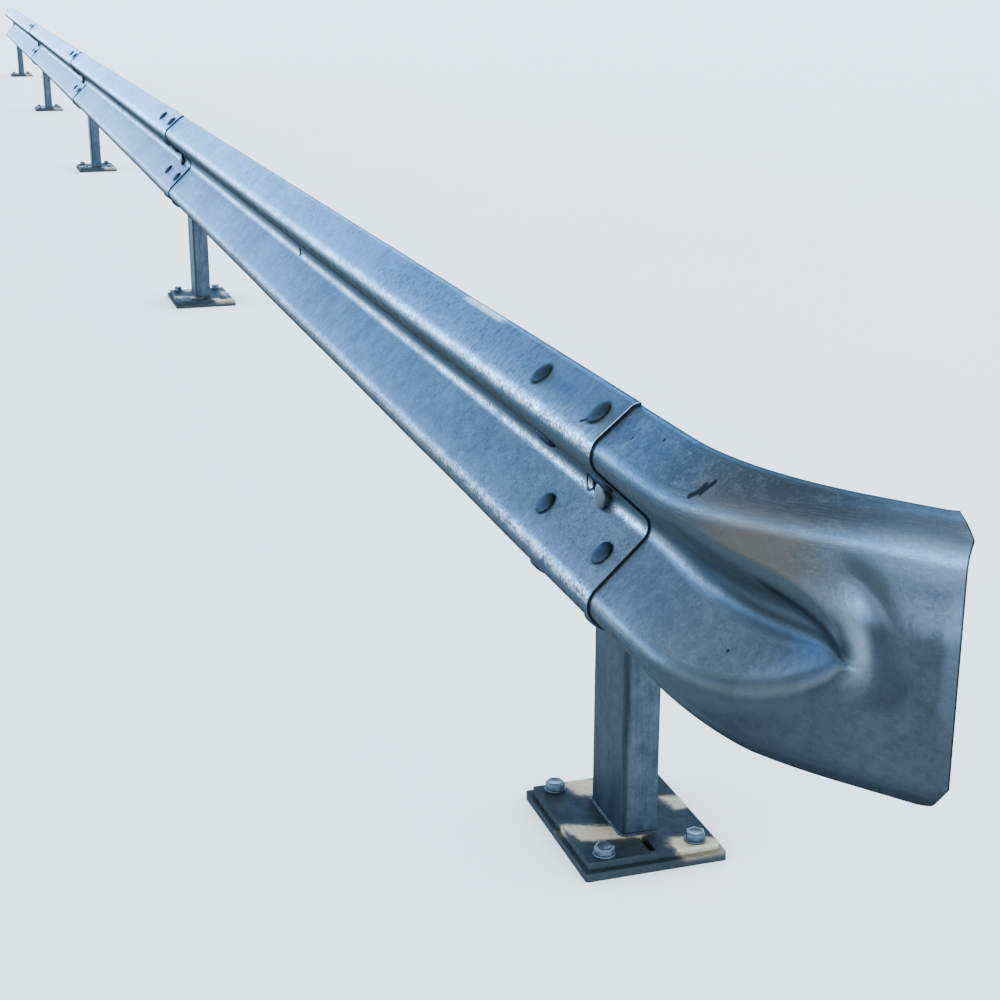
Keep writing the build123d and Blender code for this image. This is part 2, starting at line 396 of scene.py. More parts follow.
def solidZinc(name, tones, extra=None):
    # zinc on the posts, plates and bolts, in the object's own coordinates; tones may give a
    # roughness, a specular level, a grazing tint and how strongly dirt has run down
    finish = newFinish(name)
    vector = finish.place()
    shade, crystals, fine = zincShade(finish, vector)
    colour = finish.mixed(tones["dull"], tones["bright"], shade)
    if "streaked" in tones:
        runs = finish.noise(vector, (70.0, 70.0, 6.0), 5.0, 0.65)
        lines = finish.noise(vector, (260.0, 260.0, 14.0), 3.0, 0.6)
        dirt = (runs.ease(0.42, 0.80) + lines.ease(0.52, 0.75) * 0.5).clipped()
        colour = finish.mixed(colour, zinc["stainAndShade"], dirt * tones["streaked"])
    metallic = zinc["solidMetallic"]
    if extra is not None:
        colour, metallic = extra(finish, vector, colour)
    relief = finish.bump(crystals * 0.3 + fine, 0.3, 0.0005)
    roughness = tones.get("roughness", 0.45) + (1 - shade) * 0.15
    specular = tones.get("specular", 0.5)
    grazing = tones.get("grazing", (1.0, 1.0, 1.0))
    return finish.closed(finish.surface(colour, roughness, metallic, relief, specular, grazing))


plateSunPatches = dict(
    # corners of the painted patches of sunlight on each base plate, measured from its post, in turn left
    patches=(
        ((-0.112, -0.028), (-0.070, -0.012), (-0.062, 0.022), (-0.095, 0.045), (-0.124, 0.004)),
        ((-0.030, 0.092), (0.010, 0.100), (0.006, 0.128), (-0.026, 0.130)),
        ((0.004, -0.072), (0.054, -0.056), (0.070, 0.018), (0.060, 0.042), (0.026, -0.008)),
        ((0.102, 0.050), (0.128, 0.066), (0.128, 0.128), (0.104, 0.128), (0.084, 0.062)),
    ),
    # the colour of the painted sunlight, and of the darker fringe round it
    colour=(0.33, 0.24, 0.14),
    edge=(0.060, 0.045, 0.030),
    heights=(0.004, 0.021),  # the painted sunlight thins out down the sides of the plates
    ragged=0.020,
)


def insideCorners(x, y, corners):
    # the largest distance beyond any side of a convex patch, negative inside
    sides = []
    for start, end in zip(corners, corners[1:] + corners[:1]):
        run = np.subtract(end, start) / math.dist(start, end)
        sides.append((x - start[0]) * float(run[1]) - (y - start[1]) * float(run[0]))
    return largest(sides)


def sunPatchedPlate(finish, vector, colour):
    # painted patches of sunlight on the top of each plate
    x, y, z = finish.axes(vector)
    x = x.folded()
    wobble = (finish.noise(vector, 70.0, 4.0, 0.65) - 0.5) * plateSunPatches["ragged"]
    beyond = smallest([insideCorners(x, y, corners) for corners in plateSunPatches["patches"]]) + wobble
    level = z.ease(*plateSunPatches["heights"])
    grain = finish.noise(vector, 130.0, 4.0, 0.7)
    fade = beyond.ease(0.012, -0.004) * level * 0.6
    sunPatch = (beyond.ease(0.005, -0.006) * level * (0.45 + grain * 0.95)).clipped()
    colour = finish.mixed(colour, plateSunPatches["edge"], fade)
    return finish.mixed(colour, plateSunPatches["colour"], sunPatch), 0.8 - sunPatch.most(fade) * 0.75


def postMarks(finish, vector, colour):
    # dirt runs down the channel's corners, and painted shade darkens the side that faces the road
    x, y, _ = finish.axes(vector)
    corner = apart(abs(x.folded()) - postHigh[0], y).ease(0.0095, 0.0020)
    runs = finish.noise(vector, (90.0, 90.0, 5.0), 4.0, 0.6)
    # painted shade on the side that faces the road
    front = y.ease(0.0020, 0.0008) * (0.32 + runs * 0.5)
    return finish.mixed(colour, zinc["stainAndShade"], front.most(corner * (0.35 + runs))), zinc["solidMetallic"]


beam = dict(
    sheet=0.003,
    valleyDepth=0.0097,
    crestDepth=-0.0795,
    crestLow=0.0849,
    crestHigh=0.1077,
    lipBend=(-0.0266, 0.1519),
    lipEnd=(-0.0177, 0.1535),
    bendRadius=0.025,
    lipRadius=0.007,
    setOut=0.0032,  # how far the near end of a rail stands in front of the next piece
    edgeBevel=0.0005,
    edgeAngle=math.radians(60),  # only edges sharper than this are bevelled
)


def beamCorners():
    upper = [
        (beam["crestDepth"], beam["crestLow"]),
        (beam["crestDepth"], beam["crestHigh"]),
        beam["lipBend"],
        beam["lipEnd"],
    ]
    lower = [(depth, -height) for depth, height in upper[::-1]]
    return np.array(lower + [(beam["valleyDepth"], 0.0)] + upper)


def bentLines(corners, radii, steps):
    # polylines with round corners, many at once: corners (line, corner, 2), radii (line, corner - 2)
    # a bend is ((1-k)^2 a + 2k(1-k) c b + k^2 d) / (the same sum of weights), with a and d where the
    # circle meets the lines, b the corner and c the cosine of half the turn
    before = corners[:, :-2] - corners[:, 1:-1]
    after = corners[:, 2:] - corners[:, 1:-1]
    lengthBefore = np.linalg.norm(before, axis=-1, keepdims=True)
    lengthAfter = np.linalg.norm(after, axis=-1, keepdims=True)
    before = before / lengthBefore
    after = after / lengthAfter
    cosTurn = np.clip(-(before * after).sum(-1), -0.999, 1.0)
    reach = (radii * np.sqrt((1 - cosTurn) / (1 + cosTurn)))[..., None]
    # two bends that want more than the line between them share it in proportion
    pairs = np.pad(reach, ((0, 0), (1, 1), (0, 0)))
    share = 0.98 / np.maximum(pairs[:, 1:] + pairs[:, :-1], 1e-9)
    share = share * np.concatenate([lengthBefore, lengthAfter[:, -1:]], 1)
    reach = reach * np.minimum(1, np.minimum(share[:, :-1], share[:, 1:]))
    half = np.sqrt((1 + cosTurn) / 2)[..., None, None]
    start = (corners[:, 1:-1] + before * reach)[:, :, None]
    end = (corners[:, 1:-1] + after * reach)[:, :, None]
    k = np.linspace(0, 1, steps + 1)[None, None, :, None]
    weights = (1 - k) ** 2, 2 * k * (1 - k) * half, k ** 2
    arcs = (weights[0] * start + weights[1] * corners[:, 1:-1, None] + weights[2] * end) / sum(weights)
    arcs = arcs.reshape(len(corners), -1, 2)
    return np.concatenate([corners[:, :1], arcs, corners[:, -1:]], 1)


def resampled(lines, fractions):
    # the points at the given fractions of each line's length
    along = distanceAlong(lines)
    along = along / along[:, -1:]
    return np.array([
        np.stack([np.interp(fractions, part, line[:, 0]), np.interp(fractions, part, line[:, 1])], -1)
        for part, line in zip(along, lines)
    ])


beamRadii = np.array([beam["lipRadius"]] + [beam["bendRadius"]] * 5 + [beam["lipRadius"]])
baseLine = bentLines(beamCorners()[None], beamRadii[None], 24)[0]
baseAlong = distanceAlong(baseLine)
girth = float(baseAlong[-1])
baseAlong = baseAlong - girth / 2  # 0 in the valley, positive upwards
baseRun = unit(np.gradient(baseLine, baseAlong, axis=0))


def sectionAt(w):
    # the sheet's middle and its front normal at a distance w round the section from the valley
    middle = np.stack([np.interp(w, baseAlong, baseLine[:, i]) for i in (0, 1)], -1)
    run = np.stack([np.interp(w, baseAlong, baseRun[:, i]) for i in (0, 1)], -1)
    return middle, unit(np.stack([-run[..., 1], run[..., 0]], -1))


def roundAt(height):
    return float(np.interp(height, baseLine[:, 1], baseAlong))


openings = dict(
    # length and width of each kind, then the reach and the step of the finer grids round them
    slot=(0.064, 0.019),
    hole=(0.018, 0.018),
    middleHole=(0.016, 0.016),
    slotGrid=(0.045, 0.003),
    holeGrid=(0.012, 0.002),
)


def slotsAt(*places):
    return [(place, 0.0) + openings["slot"] for place in places]


def finer(places, centres, reach, step):
    # evenly spread places made closer within reach of every centre
    keep = np.ones(len(places), bool)
    extra = []
    for centre in centres:
        inside = abs(places - centre) < reach + step
        inside[[0, -1]] = False
        keep &= ~inside
        extra.append(centre + np.linspace(-reach, reach, int(2 * reach / step) + 1))
    return np.unique(np.concatenate([places[keep]] + extra))


def rimDistance(x, w, cuts):
    # distance to the nearest rim of an opening, negative inside, and its nearest point
    best = np.full(x.shape, 1.0)
    rimX, rimW = x.copy(), w.copy()
    for centreX, centreW, length, width in cuts:
        half = (length - width) / 2
        spine = centreX + np.clip(x - centreX, -half, half)
        distance = np.hypot(x - spine, w - centreW)
        nearer = distance - width / 2 < best
        scale = width / 2 / np.maximum(distance, 1e-9)
        rimX = np.where(nearer, spine + (x - spine) * scale, rimX)
        rimW = np.where(nearer, centreW + (w - centreW) * scale, rimW)
        best = np.where(nearer, distance - width / 2, best)
    return best, rimX, rimW


def punched(x, w, cuts):
    # cells in an opening are dropped, and the points round them move to its rim
    rows, columns = x.shape
    quads = gridQuads(rows, columns)
    inside = rimDistance(x.ravel()[quads].mean(1), w.ravel()[quads].mean(1), cuts)[0] < 0
    dropped = np.zeros(rows * columns, bool)
    dropped[quads[inside].ravel()] = True
    kept = np.zeros(rows * columns, bool)
    kept[quads[~inside].ravel()] = True
    rim = (dropped & kept).reshape(rows, columns)
    _, rimX, rimW = rimDistance(x, w, cuts)
    return np.where(rim, rimX, x), np.where(rim, rimW, w), quads[~inside], kept


def keptOnly(kept, quads, *arrays):
    order = np.cumsum(kept) - 1
    return [order[quads]] + [array.reshape(-1, array.shape[-1])[kept] for array in arrays]


def finishSheet(piece, material, nodeName):
    solid = piece.modifiers.new("thickness", "SOLIDIFY")
    solid.thickness = beam["sheet"]
    solid.offset = 0.0
    solid.use_even_offset = True
    edge = piece.modifiers.new("cut edge", "BEVEL")
    edge.width = beam["edgeBevel"]
    edge.segments = 2
    edge.limit_method = "ANGLE"
    edge.angle_limit = beam["edgeAngle"]
    normals = piece.modifiers.new("even shading", "WEIGHTED_NORMAL")
    normals.keep_sharp = True
    piece.data.materials.append(material)
    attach(piece, "root")
    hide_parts(nodeName)


rails = dict(
    coarseStep=0.050,
    roundStep=0.012,  # the widest step round the section, on the slopes
    turnStep=math.radians(6.5),  # the largest turn between two points on a bend
    valleyGrid=(0.014, 0.004),  # reach and step of the points beside the valley
    dentDepth=0.0012,
    calm=0.3,  # the dents fade out over this length before a lap
    seed=40,
    bright=(0.052, 0.062, 0.071),
    dull=(0.015, 0.019, 0.023),
    # painted highlight on the slopes near the bends
    slopeTone=(0.115, 0.140, 0.165),
    # painted reflection in the valley
    valleyTone=(0.150, 0.170, 0.175),
    # the colour of the painted sunlight
    sunnedTone=(0.42, 0.39, 0.30),
    sunned=(-0.475, 0.110, 0.014),  # a painted patch of sunlight under the top lip: place along, half length, height
    slotRing=(-0.042, 0.0130),  # where a dark ring is painted beside the post bolt, and its radius
    boltArc=0.0195,  # the radius of the dark arc painted round the post bolt itself
    drip=((0.098, 0.016), (0.088, 0.021)),  # dirt below a splice bolt: along, and down from its row
)


def placesRound(centres=()):
    # places round the section: close on the bends and in the valley, wider on the slopes
    turn = np.gradient(np.unwrap(np.arctan2(baseRun[:, 1], baseRun[:, 0])), baseAlong)
    reach, step = rails["valleyGrid"]
    density = 1 / rails["roundStep"] + np.abs(turn) / rails["turnStep"] + (abs(baseAlong) < reach) / step
    count = np.concatenate([[0], np.cumsum((density[1:] + density[:-1]) / 2 * np.diff(baseAlong))])
    total = int(round(count[-1] / 2)) * 2
    places = np.interp(np.linspace(0, count[-1], total + 1), count, baseAlong)
    return finer(places, centres, *openings["holeGrid"])


def ripple(x, w, seed, count=24, longest=1.4, shortest=0.12):
    # a sum of sines of mixed lengths and directions, from 0 to 1
    draw = np.random.default_rng(seed)
    total = np.zeros(np.broadcast(x, w).shape)
    for length in np.geomspace(longest, shortest, count):
        turn = draw.uniform(-0.9, 0.9)
        phase = draw.uniform(0, 2 * np.pi)
        turned = x * np.cos(turn) + w * np.sin(turn)
        total = total + length ** 0.8 * np.sin(2 * np.pi * turned / length + phase)
    total = total - total.min()
    return total / total.max()


def railSurface(x, w, start, end, seed):
    # middle(w) + out(x) * normal(w), where out grows from 0 at the far lap to setOut at the near one
    middle, normal = sectionAt(w)
    fromFar = x - start - lapLength
    toNear = end - lapLength - x
    out = beam["setOut"] * np.clip(fromFar / (end - start - 2 * lapLength), 0, 1)
    calm = np.clip(np.minimum(fromFar, toNear) / rails["calm"], 0, 1)
    out = out - rails["dentDepth"] * ripple(x, w, seed) * calm
    depth = middle[..., 0] + out * normal[..., 0]
    height = middle[..., 1] + out * normal[..., 1]
    return np.stack([x, depth, railCentre + height], -1), np.stack([x, w, normal[..., 1]], -1)


def railDark(finish, folded, v):
    # a dark ring beside the post bolt, a dark arc round it, and a run of dirt from one splice bolt
    place, radius = rails["slotRing"]
    ring = abs(apart(folded - place, v) - radius).ease(0.0046, 0.0022) * 0.95
    arc = abs(apart(folded, v) - rails["boltArc"]).ease(0.0030, 0.0010)
    arc = arc * folded.ease(-0.004, 0.006) * 0.9
    below = roundAt(holeRows[1]) - v
    wobble = (finish.noise(finish.sheet(), 300.0, 2.0) - 0.5) * 0.004
    drip = (toStroke(folded, below, rails["drip"]) + wobble).ease(0.0042, 0.0018) * 0.9
    return largest([ring, arc, drip]) * finish.roadSide()


def slopeGlow(finish):
    # painted highlight: the slopes are paler towards the crests and the valley, in uneven grains
    vector = finish.sheet()
    _, v, up = finish.axes(vector)
    crests = roundAt(beam["crestHigh"]), -roundAt(beam["crestLow"])
    parts = [(v - crest).ease(0.040, 0.002) * (v - crest).ease(-0.030, -0.010) for crest in crests]
    parts.append(v.ease(-0.050, -0.004) * v.ease(0.012, 0.0) * 0.8)
    grain = finish.noise(vector, (130.0, 90.0, 0.0), 5.0, 0.75).ease(0.34, 0.64)
    return largest(parts) * up.ease(0.10, 0.45) * grain * 0.75


def valleyPale(finish):
    # painted reflection: the valley and the foot of the slope above it are paler
    vector = finish.sheet()
    v = finish.axes(vector)[1]
    cloud = finish.noise(vector, 30.0, 4.0, 0.65)
    return v.ease(0.050, 0.004) * v.ease(-0.010, 0.0) * (0.10 + cloud * 0.50)


def railLook(finish):
    vector = finish.sheet()
    u, v, _ = finish.axes(vector)
    # a painted patch of sunlight under the top lip
    centre, half, high = rails["sunned"]
    ragged = (finish.noise(vector, (30.0, 90.0, 0.0)) - 0.5) * 0.9
    sunned = (abs(u - centre) / half + ragged).ease(1.0, 0.75) * 0.85
    sunned = sunned * v.ease(girth / 2 - high, girth / 2 - high * 0.6)
    return dict(
        # strength of the painted highlight on the bends
        rubbed=0.85,
        film=1.0,
        crackle=1.0,
        grain=1.25,
        grime=(0.06, -0.30),  # up where grime and painted shade begin and where they are full
        dark=railDark(finish, u.folded(splicePlace), v),
        tints=(
            (rails["slopeTone"], slopeGlow(finish)),
            (rails["valleyTone"], valleyPale(finish)),
            (rails["sunnedTone"], sunned),
        ),
    )


railFinish = sheetZinc("rail zinc", rails, railLook)
for number in range(1, railCount + 1):
    low, high = nodeBox(f"rail_{number}")
    far = splicePlace - bayLength * number
    cuts = slotsAt(far + bayLength, far) + [(far + bayLength / 2, 0.0) + openings["middleHole"]]
    along = np.linspace(low[0], high[0], int((high[0] - low[0]) / rails["coarseStep"]))
    along = finer(along, [cut[0] for cut in cuts], *openings["slotGrid"])
    around = placesRound()
    if number == railCount:
        # no rail follows the last one, so its bolt holes are open
        rounds = [side * roundAt(row) for row in holeRows for side in (-1, 1)]
        columns = (far - splicePitch / 2, far + splicePitch / 2)
        cuts = cuts + [(column, w) + openings["hole"] for w in rounds for column in columns]
        along = finer(along, columns, *openings["holeGrid"])
        around = placesRound(rounds)
    x, w = np.meshgrid(along, around, indexing="ij")
    x, w, quads, kept = punched(x, w, cuts)
    points, sheet = railSurface(x, w, low[0], high[0], rails["seed"] + number)
    quads, points, sheet = keptOnly(kept, quads, points, sheet)
    rail = makePiece(f"railSheet{number}", points, quads, layers={"sheet": sheet})
    finishSheet(rail, railFinish, f"rail_{number}")
print("rails:", railCount, "each", x.shape[0], "by", x.shape[1], "points")


flare = dict(
    # the line in plan: straight to start, a bend, then a straight tail
    start=0.290,
    radius=0.420,
    turn=math.radians(36.0),
    tail=0.116,
    # the section, with the stretches of the line over which each part of it changes
    flattening=(0.250, 0.560),
    endDepth=-0.064,
    lipMove=0.0037,
    nose=0.552,  # where the valley has closed
    noseHigh=-0.004,
    noseLow=-0.014,
    noseRecess=0.003,
    valleyFrom=dict(upper=0.340, lower=0.330, floor=0.465),
    crestRise=(0.038, 0.300, 0.640),
    crestDrop=(0.033, (0.270, 0.465), (0.280, 0.455)),
    bends=dict(  # the radius each bend comes to, and over which stretch
        lip=(0.0035, 0.290, 0.440),
        lowerCrest=(0.020, 0.290, 0.440),
        valleyEdge=(0.040, 0.330, 0.552),
        upperCrest=(0.040, 0.240, 0.520),
    ),
    floorBend=((0.012, 0.150, 0.380), (-0.024, 0.450, 0.552)),  # what is added to the valley's own radius
    # the rings pressed round the nose: along and height of their centre, then radius, width and depth
    ringCentre=(0.505, 0.0),
    ridge=(0.064, 0.016, 0.0022),
    ridgeFade=(0.7, 0.045, 0.085),  # the ridge loses this share between these heights
    hollow=(0.096, 0.019, 0.0043),
    pressedAlong=(0.530, 0.572),
    pressedHeights=((-0.055, 0.005), (0.130, 0.080)),
    cornerLength=(0.050, 0.032),  # how far each end corner is cut back, lower and upper
    cornerReach=(0.084, 0.048),  # how far round the section the cut reaches
    cornerFade=0.090,  # and how far back along the line the points slide with it
    edgeRoll=(0.020, 0.0045),  # length of the rolled end edge and how far it turns back
    stationStep=0.0042,
    straightTo=0.100,  # up to here the section is the beam's own
    stationsFrom=0.120,  # close stations begin here
    roundPoints=200,
    bright=(0.045, 0.055, 0.066),
    dull=(0.012, 0.017, 0.023),
)
flareBendEnd = flare["start"] + flare["radius"] * flare["turn"]
flareLength = flareBendEnd + flare["tail"]


def ramp(along, begin, end):
    return np.clip((along - begin) / (end - begin), 0, 1)


def ease(along, begin, end):
    part = ramp(along, begin, end)
    return part * part * (3 - 2 * part)


def moved(first, last, part):
    return first + (last - first) * part


def flareCorners(along):
    # the nine corners of the section at each distance along the bent line
    flattening = ease(along, *flare["flattening"])
    upper, lower, filling = [ramp(along, begin, flare["nose"]) for begin in flare["valleyFrom"].values()]
    face = moved(beam["crestDepth"], flare["endDepth"], flattening)
    lipMove = flare["lipMove"] * flattening
    # the valley's upper edge comes down steadily and then bluntly at the nose
    blunt = 0.58 * upper ** 1.3 + 0.42 * upper ** 12
    valleyHigh = moved(beam["crestLow"], flare["noseHigh"], blunt)
    valleyLow = moved(-beam["crestLow"], flare["noseLow"], lower ** 2.5)
    recess = flare["noseRecess"] * (1 - ease(along, flare["nose"] - 0.004, flare["nose"] + 0.030))
    valley = moved(beam["valleyDepth"], face + recess, filling ** 1.5)
    rise, *stretch = flare["crestRise"]
    top = beam["crestHigh"] + rise * ease(along, *stretch)
    drop, first, second = flare["crestDrop"]
    bottom = -beam["crestHigh"] - drop * (0.3 * ease(along, *first) + 0.7 * ramp(along, *second))
    lips = [(depth + lipMove, height) for depth, height in (beam["lipBend"], beam["lipEnd"])]
    lower = [(depth, -height) for depth, height in lips[::-1]] + [(face, bottom), (face, valleyLow)]
    upper = [(face, valleyHigh), (face, top)] + lips
    corners = lower + [(valley, (valleyHigh + valleyLow) / 2)] + upper
    flat = np.zeros_like(along)
    return np.stack([np.stack([depth + flat, height + flat], -1) for depth, height in corners], 1)


def flareRadii(along):
    radii = {}
    for name, (closed, begin, end) in flare["bends"].items():
        radius = beam["lipRadius"] if name == "lip" else beam["bendRadius"]
        radii[name] = moved(radius, closed, ease(along, begin, end))
    radii["floor"] = beam["bendRadius"]
    for added, begin, end in flare["floorBend"]:
        radii["floor"] = radii["floor"] + added * ease(along, begin, end)
    order = ("lip", "lowerCrest", "valleyEdge", "floor", "valleyEdge", "upperCrest", "lip")
    return np.stack([radii[name] for name in order], 1)


def flareSurface(along, fractions):
    # section(along) carried on the bent line, with a ridge and a hollow pressed round the nose
    sections = resampled(bentLines(flareCorners(along), flareRadii(along), 16), fractions)
    depth, height = sections[..., 0], sections[..., 1]
    place = along[:, None] + np.zeros_like(depth)
    away = np.hypot(place - flare["ringCentre"][0], height - flare["ringCentre"][1])
    pressed = ease(place, *flare["pressedAlong"])
    for below, above in flare["pressedHeights"]:
        pressed = pressed * ease(height, below, above)
    ridge, hollow = [
        deep * np.exp(-((away - radius) / width) ** 2)
        for radius, width, deep in (flare["ridge"], flare["hollow"])
    ]
    share, *heights = flare["ridgeFade"]
    depth = depth + pressed * (hollow - ridge * (1 - share * ease(height, *heights)))
    rollLength, rollDepth = flare["edgeRoll"]
    depth = depth + rollDepth * ramp(place, flareLength - rollLength, flareLength) ** 2
    # the bent line in plan, and the angle of its run
    turn = np.clip((place - flare["start"]) / flare["radius"], 0, flare["turn"])
    tail = np.clip(place - flareBendEnd, 0, None)
    x = np.minimum(place, flare["start"]) + flare["radius"] * np.sin(turn) + tail * np.cos(turn)
    y = flare["radius"] * (1 - np.cos(turn)) + tail * np.sin(turn)
    points = np.stack([x - np.sin(turn) * depth, y + np.cos(turn) * depth, railCentre + height], -1)
    return points, height


def upwards(points):
    # the upward part of the front's normal, from the slopes of the grid itself
    normal = unit(np.cross(np.gradient(points, axis=1), np.gradient(points, axis=0)))
    return -normal[..., 2] * np.sign(normal[..., 1].mean())


straight = np.linspace(flareLow[0], flare["stationsFrom"], 14)
straight = finer(straight, [splicePlace], *openings["slotGrid"])
bentCount = int((flareLength - flare["stationsFrom"]) / flare["stationStep"])
bent = np.linspace(flare["stationsFrom"], flareLength, bentCount)
stations = np.concatenate([straight[:-1], bent])
fractions = np.linspace(0, 1, flare["roundPoints"] + 1)
x, w = np.meshgrid(stations, (fractions - 0.5) * girth, indexing="ij")
movedX, movedW, quads, kept = punched(x, w, slotsAt(splicePlace))
points, height = flareSurface(stations, fractions)
middle, normal = sectionAt(movedW)
straightPoints = np.stack([movedX, middle[..., 0], railCentre + middle[..., 1]], -1)
points = np.where((x < flare["straightTo"])[..., None], straightPoints, points)
up = upwards(points)
# both end corners are cut off slanting: points near a lip slide back along the line
fromLips = np.stack([fractions, 1 - fractions]) * girth
drop = np.clip(1 - fromLips / np.array(flare["cornerReach"])[:, None], 0, 1)
back = (drop * np.array(flare["cornerLength"])[:, None]).sum(0)
back = back * ramp(x, flareLength - flare["cornerFade"], flareLength)
points = points - back[..., None] * np.array([math.cos(flare["turn"]), math.sin(flare["turn"]), 0.0])
sheet = np.stack([movedX, movedW, up], -1)
face = np.stack([movedX, height, up], -1)
quads, points, sheet, face = keptOnly(kept, quads, points, sheet, face)
flaredEnd = makePiece("flaredEndSheet", points, quads, layers={"sheet": sheet, "face": face})


flareMarks = dict(
    # strokes and dots as distance along and height from the valley
    scuff=((0.3665, 0.1165), (0.3725, 0.1215), (0.3745, 0.1285), (0.3775, 0.1225), (0.3815, 0.1330)),
    dots=((0.193, 0.131), (0.253, 0.143), (0.449, 0.040), (0.405, -0.052)),
    # lines of painted shade in the recess of the closing valley
    fold=((0.350, 0.056), (0.535, 0.016)),
    noseFold=((0.460, 0.036), (0.544, 0.003)),
    # the line of the brownish painted highlight on the lower crest
    lowerCrest=((0.430, -0.084), (0.500, -0.056), (0.548, -0.018)),
    lowerBend=((0.300, -0.106), (0.430, -0.090), (0.505, -0.062)),
    # radii of a crescent of painted shade and of a painted highlight
    darkRing=0.095,
    brightRing=0.065,
)


def underLobe(along, level):
    # painted shade on the bend under the lower lobe
    return along.ease(0.25, 0.40) * level.ease(-0.112, -0.134)


def flareDark(finish, along, level, ring):
    # scuff and dots, painted shade in the folds and on the bend under the lower lobe, a crescent of painted
    # shade outside the bright one, and painted shade along the end edge

    def near(name, far, full):
        return toStroke(along, level, flareMarks[name]).ease(far, full)

    wobble = (finish.noise(finish.sheet(), 400.0, 2.0) - 0.5) * 0.003
    scuff = (toStroke(along, level, flareMarks["scuff"]) + wobble).ease(0.0042, 0.0018)
    dots = [apart(along - dot[0], level - dot[1]).ease(0.0028, 0.0014) for dot in flareMarks["dots"]]
    # a crescent of painted shade outside the bright one
    crescent = abs(ring - flareMarks["darkRing"]).ease(0.025, 0.003) * along.ease(0.548, 0.580)
    crescent = crescent * level.ease(0.110, 0.05) * level.ease(-0.050, 0.005)
    # painted shade in the folds of the closing valley
    folds = (near("fold", 0.040, 0.006) * 0.30).most(near("noseFold", 0.030, 0.004) * 0.85)
    parts = [scuff * 0.95, largest(dots) * 0.9, crescent * 0.45, folds, underLobe(along, level) * 0.7]
    # painted shade along the end edge
    rim = along.ease(flareLength - 0.0022, flareLength - 0.0012)
    return (largest(parts) * finish.roadSide()).most(rim * 0.9)


def flareTints(finish, along, level, up, ring):
    # tones laid one over another, each with how much of it shows
    vector = finish.sheet()

    def grains(scale, detail, roughness, low, high):
        return finish.noise(vector, scale, detail, roughness).ease(low, high)

    # painted highlight: the broad slope of the lower lobe grows paler towards the nose
    lobe = up.ease(0.40, 0.65) * level.ease(0.035, 0.005) * along.ease(0.56, 0.49)
    # painted highlight on the slopes, fading towards the nose
    glow = slopeGlow(finish) * along.ease(0.42, 0.22) * (1 - level.ease(0.02, 0.06) * 0.6)
    # the flat below the nose and beyond it is paler
    face = along.ease(0.38, 0.60) * level.ease(0.115, 0.030)
    # painted shade dims the upper crest where it bends back, and the lower lobe's bends
    dim = along.ease(0.20, 0.31) * along.ease(0.60, 0.44) * level.ease(0.050, 0.085)
    fade = along.ease(0.22, 0.44) * level.ease(0.060, 0.030) * abs(up - 0.30).ease(0.60, 0.20)
    clouds = grains(13.0, 5.0, 0.7, 0.44, 0.62) * 0.26 + grains(75.0, 4.0, 0.7, 0.46, 0.62) * 0.30
    pale = grains(44.0, 5.0, 0.72, 0.46, 0.70) * 0.20 + grains(190.0, 3.0, 0.7, 0.50, 0.74) * 0.22
    # a painted brownish reflection on the face above the nose, and a brownish painted highlight along the
    # lower crest
    warm = abs(along - 0.455).ease(0.120, 0.02) * abs(level - 0.080).ease(0.085, 0.01)
    warm = warm.most(toStroke(along, level, flareMarks["lowerCrest"]).ease(0.010, 0.002) * 0.22)
    warm = warm * (0.22 + finish.noise(vector, 12.0))
    # the end edge and the roll above the face catch more light
    edge = along.ease(flareLength - 0.020, flareLength - 0.008) * level.ease(-0.12, 0.10)
    roll = abs(level - 0.122).ease(0.040, 0.012) * along.ease(0.50, 0.645)
    # a painted highlight: a bright crescent just outside the nose
    crescent = abs(ring - flareMarks["brightRing"]).ease(0.017, 0.0) * along.ease(0.515, 0.550)
    crescent = crescent * level.ease(0.074, 0.01) * level.ease(-0.045, 0.005)
    return (
        ((0.062, 0.084, 0.106), lobe * along.ease(0.26, 0.42) * 0.65),
        (rails["slopeTone"], glow),
        # painted reflection in the valley, fading towards the nose
        (rails["valleyTone"], valleyPale(finish) * along.ease(0.34, 0.20)),
        ((0.100, 0.122, 0.158), face * (0.45 + finish.noise(vector, 14.0, 5.0, 0.7))),
        ((0.018, 0.023, 0.028), dim * 0.62),
        ((0.020, 0.026, 0.034), clouds.clipped()),
        ((0.135, 0.165, 0.195), pale.clipped()),
        # painted shade on the bend under the lower lobe
        ((0.006, 0.009, 0.014), underLobe(along, level) * 0.8),
        ((0.009, 0.010, 0.010), fade * 0.94),
        ((0.058, 0.043, 0.029), warm.clipped()),
        ((0.135, 0.175, 0.225), (edge * 0.22).most(roll * 0.45)),
        ((0.19, 0.215, 0.245), crescent * (0.30 + finish.noise(vector, (260.0, 40.0, 0.0)) * 0.4)),
    )


def flareLook(finish):
    along, level, up = finish.axes(finish.sheet("face"))
    ring = apart(along - flare["ringCentre"][0], level - flare["ringCentre"][1])
    # the painted highlight on the bends fades towards the nose, and on the upper one dips halfway
    low = level.ease(0.070, 0.045)
    high = 0.10 - along.ease(0.26, 0.36) * 0.06 + along.ease(0.56, 0.64) * 0.10
    # the film ends before the nose, but lies thick on the bend under the lower lobe
    bend = toStroke(along, level, flareMarks["lowerBend"]).ease(0.026, 0.008)
    return dict(
        rubbed=low * (0.34 - along.ease(0.16, 0.40) * 0.32) + (1 - low) * high,
        film=(along.ease(0.42, 0.28) * 1.15).most(bend * along.ease(0.27, 0.36) * 1.9),
        crackle=0.35,
        grain=0.60,
        # where grime and painted shade begin and are full, by up
        grime=(0.03, -0.15),
        dark=flareDark(finish, along, level, ring),
        tints=flareTints(finish, along, level, up, ring),
    )


